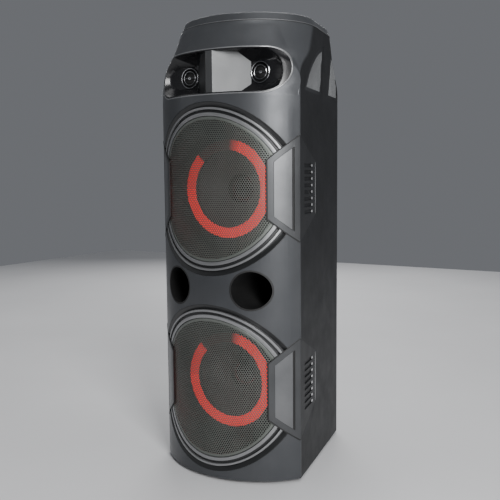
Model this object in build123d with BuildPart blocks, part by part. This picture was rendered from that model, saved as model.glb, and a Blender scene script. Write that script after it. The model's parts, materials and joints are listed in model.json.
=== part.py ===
from build123d import *
import math
import os

# Party speaker: tapered curved housing, two 8 inch woofers, a twin tweeter horn, two bass ports.
# Millimetres, +Z up, the front faces -Y, the origin is under the middle of the bounding box.

# Housing
width = 300.0              # across the two front corners
rear_width = 196.0         # between the two side planes, measured at the rear face
depth = 356.0              # front apex to rear face
shell_height = 825.0       # bottom edge to the seam of the top cap
cap_height = 15.0
foot_height = 6.0
wall = 4.0
front_radius = 190.0       # the front is an upright cylinder of this radius
dome_length = 135.0        # the shoulders curve in over this height below the seam
dome_radius = 270.0
dome_sections = 8
corner_radius = 2.0        # front corner, straight part
corner_growth = 114.0      # what the front corner radius gains in the shoulders
rear_corner_radius = 26.0
rear_corner_growth = 44.0
growth_start = 30.0        # height in the shoulders where the corners start to round out
growth_height = 67.0
shell_split = 3.0          # the front shell reaches this far behind the front corners

# Woofers, trim rings and grilles
woofer_z = {"lower": 172.5, "upper": 534.5}
recess_radius = 155.0
recess_side_margin = 12.0  # strip of front shell kept beside each recess
ring_flange = 2.5          # the trim ring reaches this far behind the shell
ring_depth = 4.0           # thickness of the ring's base
ring_bands = {"outer": (141.5, 147.0), "inner": (130.0, 135.5)}
ring_inset = {"outer": 0.4, "inner": 1.4}
ring_base_radius = 124.0
grille_radius = 129.0
grille_thickness = 1.0

# Cheeks beside the woofers
cheek_depth = 2.4
cheek_inner_x = 105.6
cheek_inner_half = 51.0
cheek_corner_half = 94.0
cheek_side_length = 99.0
cheek_side_half = 50.0
inlay_border = 10.0
inlay_thickness = 1.0
inlay_pocket = 1.3
inlay_slot = 3.0
louvre_count = 8
louvre_pitch = 12.0
louvre_gap = 7.0
louvre_start = 26.0
louvre_length = 48.0

# Driver board, light rings and woofer
board_inset = 88.0         # front face of the board behind the front apex
board_thickness = 12.0
board_bottom = 16.0
board_gap = 4.0            # board's top edge below the start of the shoulders
flange_radius = 104.0
flange_thickness = 4.0
cutout_radius = 92.0
basket_depth = 46.0
basket_neck_radius = 58.0
basket_wall = 2.0
basket_lip = 10.0          # flange inside the cutout, under the surround's outer edge
cone_radius = 76.0
cone_depth = 38.0
cone_thickness = 1.2
surround_roll = 7.0
cap_radius = 28.0
coil_radius = 19.0
coil_wall = 0.8
coil_length = 26.0
gap_clearance = 0.9
plate_thickness = 6.0
motor_width = 25.2         # radial width of the top plate
magnet_overhang = 5.0
magnet_thickness = 18.0
cone_travel = 4.0
travel_clearance = 3.0
led_inner = 72.0
led_outer = 91.0
led_thickness = 4.0
screw_radius = 2.0
screw_head_radius = 3.8
screw_head = 2.0
screw_length = 12.0
flange_screws = 8
flange_screw_circle = 98.0

# Ports
port_x = 79.0
port_z = 356.0
port_radius = 36.5
port_wall = 3.0
port_length = 150.0        # back end of the tube behind the front apex

# Horn and tweeters
horn_drop = 89.5           # horn's middle below the seam of the top cap
horn_half_height = 40.0
horn_half_width = 139.0
horn_rim = 3.0
tweeter_x = 76.5
tweeter_radius = 19.5
tweeter_inset = 64.0       # tweeter face behind the front apex
horn_floor = 5.0
nose_inset = 13.0
nose_half_width = 7.0
guard_thickness = 2.0
guard_gap = 1.0
tweeter_rim = 4.5          # tweeter's body outside the throat
tweeter_body_depth = 18.0

# Side windows: foot, middle and top of each arch and foot of its upright edge, as distances
# behind the front corner and below the seam
window_front = ((42.0, 115.0), (86.0, 70.0), (151.0, 36.0), (136.0, 115.0))
window_rear = ((264.0, 115.0), (250.0, 68.0), (219.0, 38.0), (197.0, 115.0))
window_inset = 1.6
window_band = 7.0
band_depth = 1.0

# Top panel
panel_length = 156.0
panel_width = 92.0
panel_thickness = 3.0
panel_y = 12.0
panel_ledge = 4.0
panel_sink = 10.0          # panel face below the top of the cap
knob_gap = 0.5
knobs = {"volume_knob": (-48.0, 17.0), "mic_knob": (8.0, 10.0), "echo_knob": (44.0, 10.0)}
knob_row = 14.0            # forward of the panel's middle is negative
knob_height = 8.0
shaft_radius = 3.0
shaft_length = 12.0
running_fit = 0.05
buttons = {"button_previous": -6.0, "button_play": 24.0, "button_next": 54.0}
button_row = -26.0
button_length = 22.0
button_width = 10.0
button_stand = 3.0
button_flange = 1.5
slide_gap = 0.4
display_x = -48.0
display_length = 44.0
display_width = 18.0
display_thickness = 1.2

# Rear
plate_width = 118.0
plate_height = 104.0
plate_z = 470.0
plate_wall = 5.0
socket_depth = 18.0
socket_wall = 2.0
inlet_size = (24.0, 17.0)
inlet_offset = (-30.0, -24.0)   # sockets and rocker are placed from the plate's middle
rocker_offset = (30.0, -24.0)
jack_offset = (-38.0, 26.0)
usb_offset = (36.0, 26.0)
jack_count = 3
jack_radius = 3.3
jack_pitch = 24.0
usb_size = (13.0, 6.0)
rocker_width = 12.0
rocker_radius = 9.0
rocker_valley = 2.0
grab_width = 112.0
grab_height = 36.0
grab_depth = 38.0
grab_wall = 2.5
grab_z = 640.0

# Inside and underneath
base_thickness = 5.0
foot_radius = 14.0
foot_places = ((108.0, -78.0), (68.0, 138.0))
amp_size = (110.0, 3.0, 150.0)
battery_size = (120.0, 60.0, 80.0)
battery_y = 90.0

# Places worked out from the sizes above
apex_y = -depth / 2
axis_y = apex_y + front_radius
corner_y = axis_y - math.sqrt(front_radius ** 2 - (width / 2) ** 2)
side_run = depth / 2 - corner_y
side_lean = (width - rear_width) / 2
side_length = math.hypot(side_run, side_lean)
side_dir = Vector(-side_lean / side_length, side_run / side_length, 0)
side_out = Vector(side_run / side_length, side_lean / side_length, 0)
side_plane = Plane(origin=(width / 2, corner_y, 0), x_dir=side_dir, z_dir=side_out)
base_z = foot_height
seam_z = base_z + shell_height
top_z = seam_z + cap_height
dome_z = seam_z - dome_length
horn_z = seam_z - horn_drop
board_top = dome_z - board_gap
split_y = corner_y + shell_split
board_y = apex_y + board_inset
flange_y = board_y - flange_thickness
led_back_y = flange_y - surround_roll - cone_travel - travel_clearance
tweeter_y = apex_y + tweeter_inset

os.makedirs("parts", exist_ok=True)


def save(piece, label):
    piece.part.label = label
    export_step(piece.part, f"parts/{label}.step")


def front(y):
    """Upright plane facing forward at this y; extruding goes forward."""
    return Plane.XZ.offset(-y)


def outline_corners(side_inset, end_inset):
    """Right front and right rear corner of the plan, with the sides and both ends moved in."""
    start = side_plane.origin - side_out * side_inset
    reach = start - Vector(0, axis_y, 0)
    along = reach.dot(side_dir)
    span = reach.dot(reach) - (front_radius - end_inset) ** 2
    step = -along - math.sqrt(along ** 2 - span)
    front_corner = start + side_dir * step
    rear_y = depth / 2 - end_inset
    rear_corner = start + side_dir * ((rear_y - start.Y) / side_dir.Y)
    return front_corner, rear_corner


def dome_inset(height):
    """How far the shoulders have come in at this height above their start."""
    return dome_radius - math.sqrt(dome_radius ** 2 - height ** 2)


def plan(inset, rise):
    """Plan of the housing this far up its shoulders: the front and the rear come in, the sides stay flat."""
    end_inset = inset + dome_inset(rise)
    right, rear = outline_corners(inset, end_inset)
    turn = math.pi * min(max((rise - growth_start) / growth_height, 0.0), 1.0)
    growth = (1 - math.cos(turn)) / 2
    with BuildSketch() as outline:
        with BuildLine():
            ThreePointArc((-right.X, right.Y), (0, apex_y + end_inset), (right.X, right.Y))
            Polyline((right.X, right.Y), (rear.X, rear.Y), (-rear.X, rear.Y), (-right.X, right.Y))
        make_face()
        fillet(vertices().group_by(Axis.Y)[-1], rear_corner_radius + rear_corner_growth * growth - inset)
        fillet(vertices().group_by(Axis.Y)[0], max(corner_radius, corner_radius + corner_growth * growth - inset))
    return outline.sketch


def housing(inset):
    """Solid of the housing with every wall moved in by inset, up to the seam."""
    with BuildPart() as body:
        with BuildSketch(Plane.XY.offset(base_z)):
            add(plan(inset, 0.0))
        extrude(amount=dome_z - base_z)
        for step in range(dome_sections + 1):
            rise = dome_length * step / dome_sections
            with BuildSketch(Plane.XY.offset(dome_z + rise)):
                add(plan(inset, rise))
        loft()
    return body.part


outer_body = housing(0.0)
inner_body = housing(wall)
cheek_body = housing(cheek_depth)



def curved_slice(near, far, z):
    """Piece of the front's cylinder wall between two insets, as tall as a recess, clear of the sides."""
    with BuildPart() as wall_piece:
        with BuildSketch(Plane.XY.offset(z - recess_radius - wall)):
            with Locations((0, axis_y)):
                Circle(front_radius - near)
                Circle(front_radius - far, mode=Mode.SUBTRACT)
            with Locations((0, split_y)):
                Rectangle(2 * width, 2 * depth, align=(Align.CENTER, Align.MAX), mode=Mode.INTERSECT)
        extrude(amount=2 * (recess_radius + wall))
        if near >= wall:
            add(inner_body, mode=Mode.INTERSECT)
    return wall_piece.part


def cheek_prism(z):
    """Right cheek's outline driven through the front and through the side."""
    reach = width / 2 + wall
    slope = (cheek_corner_half - cheek_inner_half) / (width / 2 - cheek_inner_x)
    front_half = cheek_inner_half + slope * (reach - cheek_inner_x)
    side_slope = (cheek_corner_half - cheek_side_half) / cheek_side_length
    side_half = cheek_corner_half + side_slope * shell_split
    with BuildPart() as prism:
        with BuildSketch(front(corner_y)):
            with BuildLine():
                Polyline(
                    (cheek_inner_x, z - cheek_inner_half), (reach, z - front_half),
                    (reach, z + front_half), (cheek_inner_x, z + cheek_inner_half), close=True)
            make_face()
        extrude(amount=depth / 2)
        with BuildSketch(side_plane.offset(wall)):
            with BuildLine():
                Polyline(
                    (-shell_split, z - side_half), (cheek_side_length, z - cheek_side_half),
                    (cheek_side_length, z + cheek_side_half), (-shell_split, z + side_half), close=True)
            make_face()
        extrude(amount=-5 * wall)
    return prism.part


def inlay_prism(z, slot):
    """Right inlay's outline, with or without the slot beside it."""
    slope = (cheek_corner_half - cheek_inner_half) / (width / 2 - cheek_inner_x)
    near = cheek_inner_x + inlay_border
    far = width / 2 - inlay_border + slot
    near_half = cheek_inner_half - 0.35 * inlay_border
    far_half = near_half + slope * (far - near)
    with BuildPart() as prism:
        with BuildSketch(front(corner_y)):
            with BuildLine():
                Polyline((near, z - near_half), (far, z - far_half), (far, z + far_half),
                         (near, z + near_half), close=True)
            make_face()
        extrude(amount=depth / 2)
    return prism.part


def window_prism(outline, grow):
    """One side window's outline driven through the right side."""
    low, middle, top, foot = [(along, seam_z - drop) for along, drop in outline]
    with BuildPart() as prism:
        with BuildSketch(side_plane.offset(wall)):
            with BuildLine():
                Polyline(low, foot, top)
                ThreePointArc(top, middle, low)
            make_face()
            if grow > 0:
                offset(amount=grow, kind=Kind.INTERSECTION)
        extrude(amount=-side_lean)
    return prism.part


cheek_shell = outer_body - cheek_body
cheek_blanks = {level: cheek_shell & cheek_prism(z) for level, z in woofer_z.items()}
inlay_floor = housing(inlay_pocket)
inlay_skin = housing(inlay_pocket - inlay_thickness) - inlay_floor
window_skin = housing(window_inset) - inner_body
band_skin = outer_body - housing(band_depth)
sides = ("right", "left")


def sided(piece, side):
    """The right-hand piece, or its mirror image for the left."""
    return piece if side == "right" else mirror(piece, about=Plane.YZ)


# Front shell: curved panel with the woofer recesses, the horn mouth, the ports and the cheek pockets
with BuildPart() as front_shell:
    add(outer_body)
    add(inner_body, mode=Mode.SUBTRACT)
    with BuildSketch(front(split_y)):
        Rectangle(2 * width, 4 * shell_height)
    extrude(amount=depth, mode=Mode.INTERSECT)
    with BuildSketch(front(split_y)):
        with Locations(*[(0, z) for z in woofer_z.values()]):
            Circle(recess_radius)
        Rectangle(width - 2 * recess_side_margin, 4 * shell_height, mode=Mode.INTERSECT)
        with Locations((port_x, port_z), (-port_x, port_z)):
            Circle(port_radius)
        with Locations((0, horn_z)):
            SlotOverall(2 * horn_half_width, 2 * horn_half_height)
    extrude(amount=depth, mode=Mode.SUBTRACT)
    for blank in cheek_blanks.values():
        add(blank, mode=Mode.SUBTRACT)
        add(mirror(blank, about=Plane.YZ), mode=Mode.SUBTRACT)
save(front_shell, "front_shell")

# Rear shell: both sides and the back, with the windows, cheek pockets and openings at the back
with BuildPart() as rear_shell:
    add(outer_body)
    add(inner_body, mode=Mode.SUBTRACT)
    with BuildSketch(front(split_y)):
        Rectangle(2 * width, 4 * shell_height)
    extrude(amount=-depth, mode=Mode.INTERSECT)
    for blank in cheek_blanks.values():
        add(blank, mode=Mode.SUBTRACT)
        add(mirror(blank, about=Plane.YZ), mode=Mode.SUBTRACT)
    for outline in (window_front, window_rear):
        opening = window_prism(outline, 0)
        band = band_skin & window_prism(outline, window_band)
        for side in sides:
            add(sided(opening, side), mode=Mode.SUBTRACT)
            add(sided(band, side), mode=Mode.SUBTRACT)
    with BuildSketch(front(depth / 2 + wall)):
        with Locations((0, plate_z)):
            Rectangle(plate_width, plate_height)
        with Locations((0, grab_z)):
            RectangleRounded(grab_width, grab_height, grab_height / 4)
    extrude(amount=4 * wall, mode=Mode.SUBTRACT)
save(rear_shell, "rear_shell")

# Window inserts, two panes to a side
panes = (window_prism(window_front, 0) + window_prism(window_rear, 0)) & window_skin
for side in sides:
    with BuildPart() as window_insert:
        add(sided(panes, side))
    save(window_insert, f"window_insert_{side}")

# Top cap with a sunk well for the control panel
with BuildPart() as top_cap:
    with BuildSketch(Plane.XY.offset(seam_z)):
        add(plan(0.0, dome_length))
    extrude(amount=cap_height, taper=22)
    fillet(faces().sort_by(Axis.Z)[-1].edges(), cap_height / 3)
    with BuildSketch(Plane.XY.offset(top_z - panel_sink)):
        with Locations((0, panel_y)):
            RectangleRounded(panel_length, panel_width, panel_ledge)
    extrude(amount=panel_sink, mode=Mode.SUBTRACT)
    with BuildSketch(Plane.XY.offset(top_z - panel_sink - panel_thickness)):
        with Locations((0, panel_y)):
            RectangleRounded(panel_length, panel_width, panel_ledge)
    extrude(amount=panel_thickness, mode=Mode.SUBTRACT)
    with BuildSketch(Plane.XY.offset(seam_z)):
        with Locations((0, panel_y)):
            RectangleRounded(panel_length - 2 * panel_ledge, panel_width - 2 * panel_ledge, panel_ledge)
    extrude(amount=cap_height, mode=Mode.SUBTRACT)
save(top_cap, "top_cap")

# Base plate and feet
with BuildPart() as base_plate:
    with BuildSketch(Plane.XY.offset(base_z)):
        Rectangle(2 * width, 2 * depth)
    extrude(amount=base_thickness)
    add(inner_body, mode=Mode.INTERSECT)
save(base_plate, "base_plate")

with BuildPart() as rubber_feet:
    with BuildSketch(Plane.XY):
        with Locations(*[(x * sign, y) for x, y in foot_places for sign in (1, -1)]):
            Circle(foot_radius)
    extrude(amount=foot_height)
    chamfer(edges().group_by(Axis.Z)[0], foot_height / 4)
save(rubber_feet, "rubber_feet")

# Driver board across the housing
with BuildPart() as driver_board:
    with BuildSketch(front(board_y + board_thickness)):
        with Locations((0, board_bottom)):
            Rectangle(2 * width, board_top - board_bottom, align=(Align.CENTER, Align.MIN))
        with Locations(*[(0, z) for z in woofer_z.values()]):
            Circle(cutout_radius, mode=Mode.SUBTRACT)
        with Locations((port_x, port_z), (-port_x, port_z)):
            Circle(port_radius, mode=Mode.SUBTRACT)
        for z in woofer_z.values():
            with Locations((0, z)):
                with PolarLocations(flange_screw_circle, flange_screws):
                    Circle(screw_radius, mode=Mode.SUBTRACT)
    extrude(amount=board_thickness)
    add(inner_body, mode=Mode.INTERSECT)
save(driver_board, "driver_board")

# Cheeks and their inlays
for level, z in woofer_z.items():
    pocket = (outer_body - inlay_floor) & inlay_prism(z, inlay_slot)
    plate = inlay_skin & inlay_prism(z, 0)
    for side in sides:
        with BuildPart() as cheek:
            add(cheek_blanks[level])
            add(pocket, mode=Mode.SUBTRACT)
            with BuildSketch(side_plane.offset(wall)):
                with Locations((louvre_start + louvre_length / 2, z)):
                    with GridLocations(0, louvre_pitch, 1, louvre_count):
                        Rectangle(louvre_length, louvre_gap)
            extrude(amount=-4 * wall, mode=Mode.SUBTRACT)
            if side == "left":
                mirror(about=Plane.YZ, mode=Mode.REPLACE)
        save(cheek, f"cheek_{level}_{side}")
    with BuildPart() as cheek_inlays:
        add(plate)
        add(sided(plate, "left"))
    save(cheek_inlays, f"cheek_inlays_{level}")

# Trim rings, grilles, light rings and their carriers
for level, z in woofer_z.items():
    cover = cheek_prism(z)
    bands = []
    for name, (inner, outer) in ring_bands.items():
        with BuildPart() as band:
            with BuildSketch(front(split_y)):
                with Locations((0, z)):
                    Circle(outer)
                    Circle(inner, mode=Mode.SUBTRACT)
                Rectangle(width - 2 * recess_side_margin, 4 * shell_height, mode=Mode.INTERSECT)
            extrude(amount=depth / 2)
            add(curved_slice(ring_inset[name], wall, z), mode=Mode.INTERSECT)
            add(cover, mode=Mode.SUBTRACT)
            add(mirror(cover, about=Plane.YZ), mode=Mode.SUBTRACT)
        bands.append(band.part)
    with BuildPart() as trim_ring:
        with BuildSketch(front(split_y)):
            with Locations((0, z)):
                Circle(recess_radius + ring_flange)
                Circle(ring_base_radius, mode=Mode.SUBTRACT)
        extrude(amount=depth / 2)
        add(curved_slice(wall, wall + ring_depth, z), mode=Mode.INTERSECT)
        for band_piece in bands:
            add(band_piece)
    save(trim_ring, f"trim_ring_{level}")

    with BuildPart() as grille:
        with BuildSketch(front(split_y)):
            with Locations((0, z)):
                Circle(grille_radius)
        extrude(amount=depth / 2)
        add(curved_slice(wall - grille_thickness, wall, z), mode=Mode.INTERSECT)
    save(grille, f"grille_{level}")

    with BuildPart() as led_ring:
        with BuildSketch(front(led_back_y)):
            with Locations((0, z)):
                Circle(led_outer)
                Circle(led_inner, mode=Mode.SUBTRACT)
        extrude(amount=led_thickness)
    save(led_ring, f"led_ring_{level}")

    with BuildPart() as led_carrier:
        with BuildSketch(front(flange_y)):
            with Locations((0, z)):
                Circle(flange_radius)
                Circle(flange_screw_circle + screw_head_radius, mode=Mode.SUBTRACT)
        extrude(amount=flange_y - led_back_y)
        with BuildSketch(front(led_back_y + wall / 2)):
            with Locations((0, z)):
                Circle(flange_radius)
                Circle(led_outer - wall, mode=Mode.SUBTRACT)
        extrude(amount=wall / 2)
    save(led_carrier, f"led_carrier_{level}")

# Woofers
for level, z in woofer_z.items():
    turn = Axis((0, 0, z), (0, 1, 0))
    profile_plane = Plane.XY.offset(z)
    back_y = flange_y + basket_depth
    throat_y = flange_y + cone_depth
    coil_outer = coil_radius + coil_wall

    with BuildPart() as basket:
        with BuildSketch(profile_plane):
            with BuildLine():
                Polyline(
                    (cone_radius + basket_lip, flange_y), (flange_radius, flange_y), (flange_radius, board_y),
                    (cutout_radius, board_y), (basket_neck_radius + basket_wall, back_y),
                    (coil_outer + gap_clearance, back_y),
                    (coil_outer + gap_clearance, back_y - basket_wall),
                    (basket_neck_radius, back_y - basket_wall),
                    (cone_radius + basket_lip, flange_y + basket_wall), close=True)
            make_face()
        revolve(axis=turn)
        with BuildSketch(front(back_y)):
            with Locations((0, z)):
                with PolarLocations((basket_neck_radius + cutout_radius) / 2, 6):
                    Rectangle(cutout_radius - basket_neck_radius - 4 * wall, basket_neck_radius / 2)
        extrude(amount=basket_depth - flange_thickness - wall, mode=Mode.SUBTRACT)
        with BuildSketch(front(board_y)):
            with Locations((0, z)):
                with PolarLocations(flange_screw_circle, flange_screws):
                    Circle(screw_radius)
        extrude(amount=flange_thickness, mode=Mode.SUBTRACT)
    save(basket, f"basket_{level}")

    with BuildPart() as cone:
        with BuildSketch(profile_plane):
            with BuildLine():
                Polyline(
                    (coil_outer, throat_y), (cone_radius, flange_y),
                    (cone_radius, flange_y + cone_thickness),
                    (coil_outer, throat_y + cone_thickness), close=True)
            make_face()
        revolve(axis=turn)
    save(cone, f"cone_{level}")

    cap_share = (cap_radius - coil_outer) / (cone_radius - coil_outer)
    cap_y = throat_y - cone_depth * cap_share
    cap_rise = cap_radius / 3
    cap_sphere = (cap_radius ** 2 + cap_rise ** 2) / (2 * cap_rise)
    with BuildPart() as dust_cap:
        with Locations((0, cap_y - cap_rise + cap_sphere, z)):
            Sphere(cap_sphere)
            Sphere(cap_sphere - cone_thickness, mode=Mode.SUBTRACT)
        with BuildSketch(front(cap_y)):
            with Locations((0, z)):
                Circle(cap_sphere)
        extrude(amount=cap_sphere, mode=Mode.INTERSECT)
    save(dust_cap, f"dust_cap_{level}")

    with BuildPart() as surround:
        roll_in = cone_radius - cone_thickness
        roll_out = roll_in + 2 * surround_roll
        middle = (roll_in + roll_out) / 2
        with BuildSketch(profile_plane):
            with BuildLine():
                ThreePointArc((roll_in, flange_y), (middle, flange_y - surround_roll), (roll_out, flange_y))
                Line((roll_out, flange_y), (roll_out - cone_thickness, flange_y))
                ThreePointArc(
                    (roll_out - cone_thickness, flange_y),
                    (middle, flange_y - surround_roll + cone_thickness),
                    (roll_in + cone_thickness, flange_y))
                Line((roll_in + cone_thickness, flange_y), (roll_in, flange_y))
            make_face()
        revolve(axis=turn)
    save(surround, f"surround_{level}")

    with BuildPart() as voice_coil:
        with BuildSketch(front(throat_y + coil_length)):
            with Locations((0, z)):
                Circle(coil_outer)
                Circle(coil_radius, mode=Mode.SUBTRACT)
        extrude(amount=coil_length)
    save(voice_coil, f"voice_coil_{level}")

    with BuildPart() as spider:
        with BuildSketch(front(throat_y + 2 * cone_thickness)):
            with Locations((0, z)):
                Circle(basket_neck_radius + cone_thickness)
                Circle(coil_outer, mode=Mode.SUBTRACT)
        extrude(amount=cone_thickness)
    save(spider, f"spider_{level}")

    with BuildPart() as magnet:
        with BuildSketch(front(back_y + plate_thickness + magnet_thickness)):
            with Locations((0, z)):
                Circle(coil_outer + motor_width + magnet_overhang)
                Circle(coil_outer + 2 * wall, mode=Mode.SUBTRACT)
        extrude(amount=magnet_thickness)
    save(magnet, f"magnet_{level}")

    with BuildPart() as motor_steel:
        with BuildSketch(front(back_y + plate_thickness)):
            with Locations((0, z)):
                Circle(coil_outer + motor_width)
                Circle(coil_outer + gap_clearance, mode=Mode.SUBTRACT)
        extrude(amount=plate_thickness)
        with BuildSketch(front(back_y + 2 * plate_thickness + magnet_thickness)):
            with Locations((0, z)):
                Circle(coil_outer + motor_width)
        extrude(amount=plate_thickness)
        with BuildSketch(front(back_y + plate_thickness + magnet_thickness)):
            with Locations((0, z)):
                Circle(coil_radius - gap_clearance)
        extrude(amount=magnet_thickness + plate_thickness)
    save(motor_steel, f"motor_steel_{level}")

# Bass port tubes
for side, x in (("right", port_x), ("left", -port_x)):
    with BuildPart() as port_tube:
        with BuildSketch(front(apex_y + port_length)):
            with Locations((x, port_z)):
                Circle(port_radius)
                Circle(port_radius - port_wall, mode=Mode.SUBTRACT)
        extrude(amount=port_length)
        with BuildSketch(Plane.XY.offset(port_z - 2 * port_radius)):
            with Locations((0, axis_y)):
                Circle(front_radius)
        extrude(amount=4 * port_radius, mode=Mode.INTERSECT)
    save(port_tube, f"port_tube_{side}")

# Horn: stadium block with a floor, a middle wedge and two cavities that narrow to the tweeters
mouth_x = horn_half_width - horn_rim
mouth_half = horn_half_height - horn_rim
throat_x = tweeter_x - tweeter_radius
nose_y = apex_y + nose_inset
with BuildPart() as horn_cavity:
    with BuildSketch(Plane.XY.offset(horn_z - horn_half_height)):
        with BuildLine():
            Polyline(
                (throat_x, tweeter_y), (mouth_x, tweeter_y),
                (mouth_x, apex_y - wall), (-mouth_x, apex_y - wall),
                (-mouth_x, tweeter_y), (-throat_x, tweeter_y), (-nose_half_width, nose_y),
                (nose_half_width, nose_y), close=True)
        make_face()
    extrude(amount=2 * horn_half_height)
with BuildPart() as horn_taper:
    with BuildSketch(front(tweeter_y)):
        with Locations((0, horn_z)):
            SlotOverall(2 * mouth_x - 2 * (mouth_half - tweeter_radius), 2 * tweeter_radius)
    with BuildSketch(front(tweeter_y - mouth_half / 2)):
        with Locations((0, horn_z)):
            SlotOverall(2 * mouth_x, 2 * mouth_half)
    loft()
    with BuildSketch(front(tweeter_y - mouth_half / 2)):
        with Locations((0, horn_z)):
            SlotOverall(2 * mouth_x, 2 * mouth_half)
    extrude(amount=depth / 4)

with BuildPart() as horn_flare:
    with BuildSketch(front(tweeter_y + horn_floor)):
        with Locations((0, horn_z)):
            SlotOverall(2 * horn_half_width, 2 * horn_half_height)
    extrude(amount=depth / 2)
    add(outer_body, mode=Mode.INTERSECT)
    add(horn_cavity.part & horn_taper.part, mode=Mode.SUBTRACT)
    with BuildSketch(front(tweeter_y + horn_floor)):
        with Locations((tweeter_x, horn_z), (-tweeter_x, horn_z)):
            Circle(tweeter_radius - guard_thickness)
    extrude(amount=horn_floor, mode=Mode.SUBTRACT)
save(horn_flare, "horn_flare")

# Tweeters behind the horn, their domes in its throats, with a guard over each
for side, x in (("right", tweeter_x), ("left", -tweeter_x)):
    dome_edge = tweeter_radius - guard_thickness - guard_gap
    dome_sphere = (dome_edge ** 2 + horn_floor ** 2) / (2 * horn_floor)
    with BuildPart() as dome:
        with Locations((x, tweeter_y + dome_sphere, horn_z)):
            Sphere(dome_sphere)
        with BuildSketch(front(tweeter_y + horn_floor)):
            with Locations((x, horn_z)):
                Circle(dome_sphere)
        extrude(amount=dome_sphere, mode=Mode.INTERSECT)
    with BuildPart() as tweeter:
        with BuildSketch(front(tweeter_y + horn_floor + tweeter_body_depth)):
            with Locations((x, horn_z)):
                Circle(tweeter_radius + tweeter_rim)
        extrude(amount=tweeter_body_depth)
        add(dome.part)
    save(tweeter, f"tweeter_{side}")

    with BuildPart() as tweeter_guard:
        with BuildSketch(front(tweeter_y)):
            with Locations((x, horn_z)):
                Circle(tweeter_radius)
                Circle(tweeter_radius - guard_thickness, mode=Mode.SUBTRACT)
        extrude(amount=guard_gap + guard_thickness)
        with BuildSketch(front(tweeter_y - guard_gap)):
            with Locations((x, horn_z)):
                Circle(tweeter_radius * 0.58)
                Circle(tweeter_radius * 0.45, mode=Mode.SUBTRACT)
                Circle(tweeter_radius * 0.16)
                Rectangle(2 * tweeter_radius - guard_thickness, guard_thickness)
        extrude(amount=guard_thickness)
    save(tweeter_guard, f"tweeter_guard_{side}")

# Control panel in the cap's well, with its display, knobs and buttons
panel_z = top_z - panel_sink
panel_low = panel_z - panel_thickness
with BuildPart() as control_panel:
    with BuildSketch(Plane.XY.offset(panel_low)):
        with Locations((0, panel_y)):
            RectangleRounded(panel_length, panel_width, panel_ledge)
        with Locations(*[(x, panel_y - knob_row) for x, radius in knobs.values()]):
            Circle(shaft_radius + running_fit, mode=Mode.SUBTRACT)
        with Locations(*[(x, panel_y - button_row) for x in buttons.values()]):
            Rectangle(button_length + 2 * slide_gap, button_width + 2 * slide_gap, mode=Mode.SUBTRACT)
    extrude(amount=panel_thickness)
    with BuildSketch(Plane.XY.offset(panel_z - display_thickness)):
        with Locations((display_x, panel_y - button_row)):
            Rectangle(display_length, display_width)
    extrude(amount=display_thickness, mode=Mode.SUBTRACT)
save(control_panel, "control_panel")

with BuildPart() as display_window:
    with BuildSketch(Plane.XY.offset(panel_z - display_thickness)):
        with Locations((display_x, panel_y - button_row)):
            Rectangle(display_length, display_width)
    extrude(amount=display_thickness)
save(display_window, "display_window")

for name, (x, radius) in knobs.items():
    with BuildPart() as knob:
        with BuildSketch(Plane.XY.offset(panel_z + knob_gap)):
            with Locations((x, panel_y - knob_row)):
                Circle(radius)
        extrude(amount=knob_height)
        chamfer(edges().group_by(Axis.Z)[-1], knob_height / 8)
        with BuildSketch(Plane.XY.offset(panel_z + knob_gap - shaft_length)):
            with Locations((x, panel_y - knob_row)):
                Circle(shaft_radius)
        extrude(amount=shaft_length)
    save(knob, name)

for name, x in buttons.items():
    with BuildPart() as button:
        with BuildSketch(Plane.XY.offset(panel_low - slide_gap)):
            with Locations((x, panel_y - button_row)):
                Rectangle(button_length, button_width)
        extrude(amount=slide_gap + panel_thickness + button_stand)
        fillet(edges().group_by(Axis.Z)[-1], button_flange / 2)
        with BuildSketch(Plane.XY.offset(panel_low - slide_gap - button_flange)):
            with Locations((x, panel_y - button_row)):
                Rectangle(button_length + 6 * slide_gap, button_width + 6 * slide_gap)
        extrude(amount=button_flange)
    save(button, name)

# Connector plate at the back, with its sockets and the power rocker
plate_back_y = depth / 2
plate_in_y = plate_back_y - plate_wall
inlet_place = (inlet_offset[0], plate_z + inlet_offset[1])
rocker_place = (rocker_offset[0], plate_z + rocker_offset[1])
jack_places = [(jack_offset[0] + jack_pitch * step, plate_z + jack_offset[1]) for step in range(jack_count)]
usb_place = (usb_offset[0], plate_z + usb_offset[1])

with BuildPart() as connector_plate:
    with BuildSketch(front(plate_back_y)):
        with Locations((0, plate_z)):
            Rectangle(plate_width, plate_height)
    extrude(amount=plate_wall)
    with BuildSketch(front(plate_in_y)):
        with Locations(inlet_place):
            Rectangle(inlet_size[0] + 2 * socket_wall, inlet_size[1] + 2 * socket_wall)
        with Locations(usb_place):
            Rectangle(usb_size[0] + 2 * socket_wall, usb_size[1] + 2 * socket_wall)
        with Locations(*jack_places):
            Circle(jack_radius + socket_wall)
    extrude(amount=socket_depth)
    with BuildSketch(front(plate_back_y)):
        with Locations(inlet_place):
            Rectangle(*inlet_size)
        with Locations(usb_place):
            Rectangle(*usb_size)
        with Locations(*jack_places):
            Circle(jack_radius)
    extrude(amount=plate_wall + socket_depth - socket_wall, mode=Mode.SUBTRACT)
    with BuildSketch(front(plate_back_y)):
        with Locations(rocker_place):
            Rectangle(rocker_width + 2 * slide_gap, 2 * rocker_radius + 2 * slide_gap)
    extrude(amount=plate_wall, mode=Mode.SUBTRACT)
    with BuildSketch(front(plate_back_y)):
        with Locations((0, plate_z)):
            with GridLocations(plate_width - 4 * screw_head_radius, plate_height - 4 * screw_head_radius, 2, 2):
                Circle(screw_radius)
    extrude(amount=plate_wall, mode=Mode.SUBTRACT)
save(connector_plate, "connector_plate")

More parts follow.
